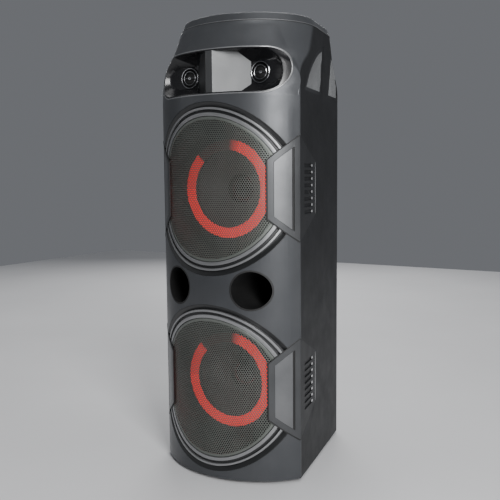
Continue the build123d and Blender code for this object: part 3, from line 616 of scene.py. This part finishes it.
guideLook = {"inner": 72 * mm, "outer": 91 * mm, "steps": 240, "crown": 2.2 * mm, "seat": 1.8 * mm}
for level in levels:
    low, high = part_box("led_ring_" + level)
    angle = np.linspace(0, 2 * math.pi, guideLook["steps"], endpoint=False)[:, None]
    middle = (guideLook["inner"] + guideLook["outer"]) / 2
    half = (guideLook["outer"] - guideLook["inner"]) / 2
    arc = np.linspace(0, math.pi, 15)
    # half-round crown on a flat back
    crown = high.y - guideLook["seat"] - guideLook["crown"] * np.sin(arc)
    profile = np.stack([middle + half * np.cos(arc), crown], axis=1)
    profile = np.concatenate([profile, [[guideLook["inner"], high.y], [guideLook["outer"], high.y]]])
    reach, depth = profile[None, :, 0], profile[None, :, 1]
    ring = np.stack([reach * np.cos(angle), depth + angle * 0, wooferZ[level] + reach * np.sin(angle)],
                    axis=-1)
    materials["lightGuide_" + level] = glowMaterial("lightGuide_" + level, glowLook, wooferZ[level])
    closedSweep("light_ring_" + level, ring, "lightGuide_" + level, slot="light",
                stands=["led_ring_" + level])
print("light rings made")

softLook = {"merge": 0.002 * mm, "flat": 0.3}


def softCopy(node, finish, width, parts=(), sharp=28.0):
    # merged copy of a moulded node with its sharp edges rounded over; parts are
    # (finish, test of face centres)
    source = frame["nodes"][node]
    mesh = source.data.copy()
    mesh.name = node + "_skin"
    cage = bmesh.new()
    cage.from_mesh(mesh)
    bmesh.ops.remove_doubles(cage, verts=cage.verts, dist=softLook["merge"])
    bmesh.ops.dissolve_degenerate(cage, edges=cage.edges, dist=softLook["merge"])
    if width:
        flat = math.radians(softLook["flat"])
        bmesh.ops.dissolve_limit(cage, verts=cage.verts, edges=cage.edges, angle_limit=flat)
    cage.to_mesh(mesh)
    cage.free()
    mesh.materials.clear()
    mesh.materials.append(materials[finish])
    centres = np.zeros(len(mesh.polygons) * 3)
    mesh.polygons.foreach_get("center", centres)
    centres = centres.reshape(-1, 3)
    index = np.zeros(len(centres), np.int32)
    for place, (other, inside) in enumerate(parts, 1):
        mesh.materials.append(materials[other])
        index[inside(*centres.T)] = place
    mesh.polygons.foreach_set("material_index", index)
    mesh.polygons.foreach_set("use_smooth", np.ones(len(centres), bool))
    mesh.set_sharp_from_angle(angle=math.radians(sharp))
    piece = bpy.data.objects.new(node + "_skin", mesh)
    scene.collection.objects.link(piece)
    if width:
        bevel = piece.modifiers.new("roundedEdges", "BEVEL")
        bevel.width = width
        bevel.segments = 2
        bevel.limit_method = "ANGLE"
        bevel.angle_limit = math.radians(sharp)
    weigh = piece.modifiers.new("evenNormals", "WEIGHTED_NORMAL")
    weigh.keep_sharp = not width
    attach(piece, bodyOf[node])
    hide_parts(node)
    return piece


hornZ = middleOf("horn_flare").z
wedgeLook = {"half": 56.5 * mm, "high": 36.5 * mm, "back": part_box("tweeter_guard_right")[1].y - 1 * mm,
             "sharp": 9.0}


def inWedge(x, y, z):
    # the divider between the two tweeters
    across = (np.abs(x) < wedgeLook["half"]) & (y < wedgeLook["back"])
    return across & (np.abs(z - hornZ) < wedgeLook["high"])


def behindCorner(x, y, z):
    # the cheek's part on the side wall, behind the front corner
    return np.abs(y) < np.abs(cornerY) - cheekLook["satinGap"]


# finish and rounding in mm of each moulded node; 0 keeps its edges and only evens out the shading
softWidths = {
    "front_shell": ("satinShell", 0), "top_cap": ("satinShell", 0.6),
    "base_plate": ("deepBlack", 0.6), "rubber_feet": ("softRubber", 0.8),
    "port_tube_left": ("deepBlack", 0.6), "port_tube_right": ("deepBlack", 0.6),
    "control_panel": ("panelBlack", 0.4), "display_window": ("displayGlass", 0.3),
    "connector_plate": ("panelBlack", 0.4), "grab_cup": ("matteSide", 0.6),
    "power_switch": ("glossBlack", 0.5),
}
softWidths |= {"tweeter_" + side: ("deepBlack", 0.4) for side in sides}
softWidths |= {"button_" + mark: ("softRubber", 0.5) for mark in ("previous", "play", "next")}
for node, (finish, width) in softWidths.items():
    softCopy(node, finish, width * mm)
# the shoulders' lighter colour is a painted highlight that fades out towards the rear; their roughness is the
# front's satin
shoulderHighlightLook = {"colour": (0.062, 0.065, 0.07), "roughness": 0.37, "edge": (0.2 * mm, 2.5 * mm),
                "rise": 20 * mm, "fade": (90 * mm, -60 * mm)}
sideLook = plasticLooks["matteSide"] | {"metallic": 0.3}
materials["shoulderHighlightSide"] = shoulderHighlightMaterial("shoulderHighlightSide", sideLook, shoulderHighlightLook)
softCopy("rear_shell", "shoulderHighlightSide", 0)
softCopy("horn_flare", "hornBlack", 0, parts=[("wedgeGrey", inWedge)],
         sharp=wedgeLook["sharp"])
for level in levels:
    softCopy("cheek_inlays_" + level, "brushedInlay", cheekLook["inlayRounding"])
    for side in sides:
        node = "cheek_" + level + "_" + side
        softCopy(node, "cheekGrey", cheekLook["rounding"],
                 parts=[("matteSide", behindCorner)])
print("moulded edges rounded")


def joined(shells):
    # several closed shells as one set of points and faces
    starts = np.cumsum([0] + [len(points) for points, faces in shells])
    points = np.concatenate([points for points, faces in shells])
    return points, np.concatenate([faces + start for (unused, faces), start in zip(shells, starts)])


def ringShell(centre, radius, tube, steps=72, around=10):
    # round wire bent to a circle in the x-z plane
    angle = np.linspace(0, 2 * math.pi, steps, endpoint=False)[:, None]
    turn = np.linspace(0, 2 * math.pi, around, endpoint=False)[None]
    reach = radius + tube * np.cos(turn)
    grid = np.stack([reach * np.cos(angle), tube * np.sin(turn) + angle * 0, reach * np.sin(angle)], axis=-1)
    return sweepShell(grid + np.asarray(centre), True)


def barShell(start, end, radius, around=10, rows=7):
    # straight rod, slightly fuller in the middle
    share = np.linspace(0, 1, rows)[:, None]
    path = np.asarray(start) * (1 - share) + np.asarray(end) * share
    along = path[-1] - path[0]
    along = along / np.linalg.norm(along)
    side = np.cross(along, (0, 1, 0) if abs(along[1]) < 0.9 else (1, 0, 0))
    side = side / np.linalg.norm(side)
    third = np.cross(along, side)
    turn = np.linspace(0, 2 * math.pi, around, endpoint=False)
    girth = radius * (0.8 + 0.2 * np.sin(math.pi * share))[:, None]
    loop = np.cos(turn)[None, :, None] * side + np.sin(turn)[None, :, None] * third
    return sweepShell(path[:, None] + girth * loop, False)


def turnedShell(centre, profile, steps=64, up="z", ripple=None):
    # closed outline of (radius, height) pairs turned about an upright or a front-to-back axis
    angle = np.linspace(0, 2 * math.pi, steps, endpoint=False)[:, None]
    radius, height = np.asarray(profile)[None, :, 0], np.asarray(profile)[None, :, 1] + angle * 0
    if ripple:
        count, size, low, high = ripple
        inside = (height > low) & (height < high)
        radius = radius * (1 - inside * size * (0.5 + 0.5 * np.cos(count * angle)))
    x, y = radius * np.cos(angle), radius * np.sin(angle)
    grid = np.stack([x, y, height], axis=-1) if up == "z" else np.stack([x, -height, y], axis=-1)
    return sweepShell(grid + np.asarray(centre), True)


# each seam bead: finish, radius and height above the cap's lowest ring; the lip's lighter finish paints a
# highlight along the seam, and the groove is the dark joint
lipLook = {"seams": {"seam_highlight_lip": ("satinTrimAndPaintedHighlight", 0.55 * mm, 0.5 * mm),
                     "seam_groove": ("deepBlack", 0.6 * mm, -0.9 * mm)},
           "steps": 480, "cornerReach": 100 * mm, "level": 0.01 * mm, "hornHalf": 139 * mm,
           "hornRadius": 40 * mm, "hornBead": 1.1 * mm}


def seamOutline(look):
    # the cap's lowest ring, put in order by angle because it is convex, and resampled at even steps along it
    mesh = frame["nodes"]["top_cap"].data
    points = np.zeros(len(mesh.vertices) * 3)
    mesh.vertices.foreach_get("co", points)
    points = points.reshape(-1, 3)
    low = points[:, 2].min()
    outer = np.hypot(points[:, 0], points[:, 1]) > look["cornerReach"]
    rim = points[(points[:, 2] < low + look["level"]) & outer, :2]
    rim = rim[np.argsort(np.arctan2(rim[:, 1], rim[:, 0]))]
    rim = np.concatenate([rim, rim[:1]])
    length = np.concatenate([[0], np.cumsum(np.linalg.norm(np.diff(rim, axis=0), axis=1))])
    even = np.linspace(0, length[-1], look["steps"], endpoint=False)
    return np.stack([np.interp(even, length, rim[:, k]) for k in (0, 1)], axis=1), low


def levelSurface(height):
    # flat and level, as a surface(u, v, depth)
    return lambda u, v, depth: np.stack([u, v, height - depth], axis=-1)


def beadOn(path, bead, surface, lift=0.35, squash=0.8):
    # round bead along a closed flat path, carried onto a surface(u, v, depth)
    path = np.asarray(path)
    ahead = np.roll(path, -1, 0) - np.roll(path, 1, 0)
    ahead /= np.linalg.norm(ahead, axis=1)[:, None]
    normal = np.stack([ahead[:, 1], -ahead[:, 0]], axis=1)
    loop = np.linspace(0, 2 * math.pi, 10, endpoint=False)[None]
    flat = path[:, None] + normal[:, None] * (bead * np.cos(loop))[..., None]
    depth = bead * (lift + squash * np.sin(loop)) + flat[..., 0] * 0
    return sweepShell(surface(flat[..., 0], flat[..., 1], depth), True)


def stadium(halfLength, radius, steps=60):
    # two straight runs joined by half circles
    half = np.linspace(-math.pi / 2, math.pi / 2, steps)
    end = halfLength - radius
    straight = np.linspace(-1, 1, steps)[1:-1] * end
    arc = radius * np.stack([np.cos(half), np.sin(half)], axis=1)
    above = np.stack([-straight, straight * 0 + radius], axis=1)
    return np.concatenate([arc + (end, 0), above, -arc - (end, 0), -above])


def padOn(outline, surface, height, inset=0.88, sunk=0.3 * mm, shoulder=0.6):
    # raised pad: its outline drawn in towards its middle as it rises
    outline = np.asarray(outline, float)
    middle = outline.mean(0)
    size = np.array([1.0, 1.0, inset])[:, None, None]
    flat = middle + (outline - middle)[None] * size
    lift = np.array([-sunk, shoulder * height, height])[:, None] + flat[..., 0] * 0
    return sweepShell(surface(flat[..., 0], flat[..., 1], -lift), False)


def hornSurface(u, v, depth):
    return onFront(u, hornZ + v, depth)


seamPath, seamZ = seamOutline(lipLook)
for name, (finish, bead, rise) in lipLook["seams"].items():
    makePiece(name, *beadOn(seamPath, bead, levelSurface(seamZ + rise), lift=0, squash=1), finish, slot="cap")
# the lip round the horn's mouth takes the lighter trim finish as a painted highlight along its rim
hornPath = stadium(lipLook["hornHalf"], lipLook["hornRadius"])
makePiece("horn_highlight_lip", *beadOn(hornPath, lipLook["hornBead"], hornSurface), "satinTrimAndPaintedHighlight", slot="horn")
print("lips made")


# each ring: radius and wire radius
guardLook = {"rings": ((18.3 * mm, 1.1 * mm), (12.4 * mm, 0.9 * mm)), "bar": 0.9 * mm, "hub": 3.4 * mm,
             "hubCrown": 1.3 * mm, "hubBack": 1.0 * mm}
for side in sides:
    centre = middleOf("tweeter_guard_" + side)
    shells = [ringShell(centre, radius, tube) for radius, tube in guardLook["rings"]]
    reach = Vector((guardLook["rings"][0][0], 0, 0))
    shells.append(barShell(centre - reach, centre + reach, guardLook["bar"]))
    arc = np.linspace(0, math.pi / 2, 8)
    hub = np.stack([guardLook["hub"] * np.cos(arc), guardLook["hubCrown"] * np.sin(arc)], axis=1)
    hub = np.concatenate([hub, [[0, -guardLook["hubBack"]], [guardLook["hub"], -guardLook["hubBack"]]]])
    shells.append(turnedShell(centre, hub, 40, up="y"))
    makePiece("guard_wire_" + side, *joined(shells), "darkChrome", slot=slotOf["tweeter_guard_" + side],
              stands=["tweeter_guard_" + side])
print("tweeter guards made")


# each pane: the arc's foot, middle and top and the foot of its straight edge, in mm back along the side and
# below the seam
# shade and the valley colour paint shade into the rib valleys
windowLook = {"front": ((42, 115), (86, 70), (151, 36), (136, 115)),
              "rear": ((264, 115), (250, 68), (219, 38), (197, 115)),
              "ribPitch": 8 * mm, "ribDepth": 1.1 * mm, "faceDepth": 1.7 * mm, "backDepth": 3.4 * mm,
              "rows": 26, "columns": 150, "clear": 0.15 * mm, "shade": 0.75, "valleyShade": (0.012, 0.0125, 0.013),
              "crease": 50}
materials["ribbedWindow"] = ribbedMaterial("ribbedWindow", plasticLooks["windowGrey"], windowLook)


def windowShell(outline, sign, look=windowLook):
    # pane between an arc and a straight edge, upright ribs following a raised cosine of the distance back
    low, middle, top, foot = (np.array([a, frontHigh.z / mm - drop]) * mm for a, drop in outline)
    chord = np.array([middle - low, top - low])
    centre = low + np.linalg.solve(chord, 0.5 * (chord ** 2).sum(1))
    radius = np.linalg.norm(low - centre)
    z = np.linspace(low[1] + look["clear"], top[1] - look["clear"], look["rows"])[:, None]
    bulge = np.sqrt(np.maximum(radius ** 2 - (z - centre[1]) ** 2, 0))
    arc = centre[0] + np.sign(low[0] - centre[0]) * bulge
    edge = foot[0] + (top[0] - foot[0]) * (z - foot[1]) / (top[1] - foot[1])
    along = arc + (edge - arc) * np.linspace(0, 1, look["columns"])[None]
    rib = look["ribDepth"] * (0.5 + 0.5 * np.cos(2 * math.pi * along / look["ribPitch"]))
    face = onSide(along, z + along * 0, look["faceDepth"] + rib, sign)
    back = onSide(along, z + along * 0, look["backDepth"], sign)
    return sweepShell(np.concatenate([face, back[:, ::-1]], axis=1), False)


for side, sign in sides.items():
    shells = [windowShell(windowLook[pane], sign) for pane in ("front", "rear")]
    makePiece("window_ribs_" + side, *joined(shells), "ribbedWindow", slot=slotOf["window_insert_" + side],
              stands=["window_insert_" + side], crease=windowLook["crease"])
print("windows ribbed")


# painted highlights on the rib ends in the louvres and on an edge behind them, and the dark joint line round
# each cheek
louvreLook = {"count": 8, "pitch": 12 * mm, "from": 71.5 * mm, "to": 79 * mm, "half": 2.2 * mm,
              "edge": 97.6 * mm,
              "edgeHalf": 48.5 * mm, "edgeWidth": 0.7 * mm, "proud": 0.25 * mm, "joint": 1.2 * mm,
              "slotHalf": 75 * mm, "slotWidth": 1.3 * mm, "sunk": 0.8 * mm,
              "jointDepth": -0.05 * mm, "slotDepth": 0.9 * mm, "slotIn": 1.5 * mm}
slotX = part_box("cheek_inlays_lower")[1].x + louvreLook["slotIn"]


def rooted(wave):
    # signed square root, which squares a circle's cosine and sine up to a superellipse
    return np.sign(wave) * np.abs(wave) ** 0.5


def sidePad(along, z, halfAlong, halfZ, sign, proud, deep):
    # rounded pad on the side wall: superellipse outline, rows from its back to its crowned face
    turn = np.linspace(0, 2 * math.pi, 28, endpoint=False)[None]
    size = np.array([1.0, 1.0, 0.86, 0.6, 0.25])[:, None]
    depth = np.array([deep, -0.3 * proud, -0.8 * proud, -proud, -proud])[:, None]
    grid = onSide(along + size * halfAlong * rooted(np.cos(turn)), z + size * halfZ * rooted(np.sin(turn)),
                  depth + turn * 0, sign)
    return sweepShell(grid, False)


def jointShell(corners, sign, half, deep, flat=0.6, thick=0.5):
    # thin flat bead along straight runs over the front; flat and thick are its height and depth by its half
    corners = np.array(corners)
    share = np.linspace(0, 1, 24)[:, None]
    path = np.concatenate([a * (1 - share) + b * share for a, b in zip(corners[:-1], corners[1:])])
    turn = np.linspace(0, 2 * math.pi, 8, endpoint=False)
    offset = half * np.stack([np.cos(turn), np.sin(turn)], axis=1)
    x, z = path[:, None, 0] + offset[None, :, 0], path[:, None, 1] + offset[None, :, 1] * flat
    grid = onFront(sign * x, z, deep + offset[None, :, 1] * thick + path[:, None, 0] * 0)
    return sweepShell(grid, False)


middle = (louvreLook["from"] + louvreLook["to"]) / 2
halfAlong = (louvreLook["to"] - louvreLook["from"]) / 2
rows = (np.arange(louvreLook["count"]) - (louvreLook["count"] - 1) / 2) * louvreLook["pitch"]
for level in levels:
    z = wooferZ[level]
    for side, sign in sides.items():
        seat = (sign, louvreLook["proud"], louvreLook["sunk"])
        shells = [sidePad(middle, z + row, halfAlong, louvreLook["half"], *seat) for row in rows]
        shells.append(sidePad(louvreLook["edge"], z, louvreLook["edgeWidth"], louvreLook["edgeHalf"], *seat))
        makePiece("louvre_tip_highlights_" + level + "_" + side, *joined(shells), "paleMarkAndPaintedHighlight", slot="cheek")
        inner, corner = cheekLook["innerX"], cornerX - cheekLook["jointGap"]
        slantTop = cheekLook["innerHalf"] + cheekSlope * (corner - inner)
        outline = [(corner, z + slantTop), (inner, z + cheekLook["innerHalf"]),
                   (inner, z - cheekLook["innerHalf"]), (corner, z - slantTop)]
        slot = [(slotX, z + louvreLook["slotHalf"]), (slotX, z - louvreLook["slotHalf"])]
        shells = [jointShell(outline, sign, louvreLook["joint"], louvreLook["jointDepth"]),
                  jointShell(slot, sign, louvreLook["slotWidth"], louvreLook["slotDepth"])]
        makePiece("cheek_joint_" + level + "_" + side, *joined(shells), "deepBlack", slot="cheek")
print("cheek details made")


# each grip: radius and number of flutes; the crown is a share of the radius and a drop below the top
knobLook = {"grips": {"volume_knob": (17 * mm, 40), "mic_knob": (10 * mm, 28), "echo_knob": (10 * mm, 28)},
            "crown": ((1.0, 2.2 * mm), (0.93, 0.6 * mm), (0.86, 0.1 * mm), (0.7, 0.5 * mm), (0.0, 0.7 * mm)),
            "flute": 0.05, "fluteFoot": 0.5 * mm, "fluteDrop": 1.2 * mm, "steps": 240,
            "pointer": ((0.45, 0.4 * mm), (0.85, 0.2 * mm)), "pointerRadius": 0.55 * mm}
for node, (radius, flutes) in knobLook["grips"].items():
    low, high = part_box(node)
    top = high.z - low.z
    middle = Vector((*middleOf(node).xy, low.z))
    crown = np.array([(radius * share, top - drop) for share, drop in knobLook["crown"]])
    wall = np.linspace((radius, 0), crown[0], 6)
    outline = np.concatenate([[(0, 0)], wall, crown[1:]])
    ripple = (flutes, knobLook["flute"], knobLook["fluteFoot"], top - knobLook["fluteDrop"])
    grip = turnedShell(middle, outline, knobLook["steps"], ripple=ripple)
    kinds = {"body": bodyOf[node], "slot": slotOf[node]}
    makePiece(node + "_grip", *grip, "knobBlack", stands=[node], **kinds)
    start, end = (middle + Vector((0, radius * share, top - drop)) for share, drop in knobLook["pointer"])
    makePiece(node + "_pointer", *barShell(start, end, knobLook["pointerRadius"]), "darkChrome", **kinds)
print("knobs fluted")


def rearSurface(u, v, depth):
    # the flat rear face
    return np.stack([u, rearY - depth, v], axis=-1)


def boxPath(x, z, width, height, radius):
    # rounded rectangle about a point, all in mm
    corners = np.array([(-1, -1), (1, -1), (1, 1), (-1, 1)]) * (width / 2, height / 2) + (x, z)
    return roundedLoop(corners * mm, radius * mm, 9)


# x, z, width, height and corner radius of each frame at the back, in mm
rearLook = {"frames": {"inlet": (-30, 446, 27, 20, 3), "usb": (36, 496, 16, 9, 2),
                       "rocker": (30, 446, 15, 21, 2)},
            "grab": (0, 640, 114, 38, 17), "plate": (0, 470, 119, 105, 4), "jacks": (-38, -14, 10),
            "jackZ": 496, "bead": 0.8 * mm,
            "collar": 4.4 * mm, "plateBead": 0.6 * mm, "grabBead": 1.3 * mm}
shells = [beadOn(boxPath(*box), rearLook["bead"], rearSurface) for box in rearLook["frames"].values()]
for x in rearLook["jacks"]:
    shells.append(ringShell((x * mm, rearY, rearLook["jackZ"] * mm), rearLook["collar"], rearLook["bead"]))
makePiece("socket_frames", *joined(shells), "satinTrimAndPaintedHighlight", slot="plate")
makePiece("plate_joint", *beadOn(boxPath(*rearLook["plate"]), rearLook["plateBead"], rearSurface),
          "knobBlack", slot="plate")
makePiece("grab_lip", *beadOn(boxPath(*rearLook["grab"]), rearLook["grabBead"], rearSurface), "knobBlack",
          slot="shell")
print("rear details made")


def pointed(x, y, size, sign):
    # play triangle with softened corners
    corners = np.array([(-0.5, -0.6), (0.6, 0.0), (-0.5, 0.6)]) * size * (sign, 1) + (x, y)
    return roundedLoop(corners, 0.12 * size, 5)


# each mark: the way its triangle points and whether a bar stands at its tip
iconLook = {"marks": {"button_previous": (-1, True), "button_play": (1, False), "button_next": (1, True)},
            "size": 4.4 * mm, "barAway": 3.4, "bar": (0.9, 5.0, 0.3), "proud": 0.25 * mm}
for node, (sign, barred) in iconLook["marks"].items():
    x, y = middleOf(node).xy
    surface = levelSurface(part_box(node)[1].z)
    shells = [padOn(pointed(x, y, iconLook["size"], sign), surface, iconLook["proud"])]
    if barred:
        bar = boxPath(x / mm + sign * iconLook["barAway"], y / mm, *iconLook["bar"])
        shells.append(padOn(bar, surface, iconLook["proud"]))
    makePiece(node + "_icon", *joined(shells), "paleMarkAndPaintedHighlight", body=bodyOf[node], slot=slotOf[node])

panelSurface = levelSurface(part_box("control_panel")[1].z)
dialLook = {"count": 11, "from": -135.0, "to": 135.0, "inner": 1.6 * mm, "length": 2.6 * mm,
            "width": 0.9 * mm, "proud": 0.2 * mm}
shells = []
for node in knobLook["grips"]:
    low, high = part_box(node)
    centre = np.array(middleOf(node).xy)
    start = (high.x - low.x) / 2 + dialLook["inner"]
    for tick in np.radians(np.linspace(dialLook["from"], dialLook["to"], dialLook["count"])):
        out = np.array([math.sin(tick), math.cos(tick)])
        across = np.array([math.cos(tick), -math.sin(tick)])
        near, far = centre + out * start, centre + out * (start + dialLook["length"])
        half = across * dialLook["width"] / 2
        corners = [near - half, near + half, far + half, far - half]
        shells.append(padOn(corners, panelSurface, dialLook["proud"]))
makePiece("dial_ticks", *joined(shells), "paleMarkAndPaintedHighlight", slot="panel")

meterLook = {"bars": 9, "pitch": 4.2, "width": 2.6, "low": 3.0, "rise": 0.9, "foot": -6.0, "corner": 0.5,
             "proud": 0.12 * mm}
middle, glass = middleOf("display_window"), levelSurface(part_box("display_window")[1].z)
shells = []
for bar in range(meterLook["bars"]):
    tall = meterLook["low"] + meterLook["rise"] * bar
    x = middle.x / mm + (bar - (meterLook["bars"] - 1) / 2) * meterLook["pitch"]
    y = middle.y / mm + meterLook["foot"] + tall / 2
    outline = boxPath(x, y, meterLook["width"], tall, meterLook["corner"])
    shells.append(padOn(outline, glass, meterLook["proud"]))
makePiece("level_meter", *joined(shells), "meterGlow", slot="display")
print("top details made")
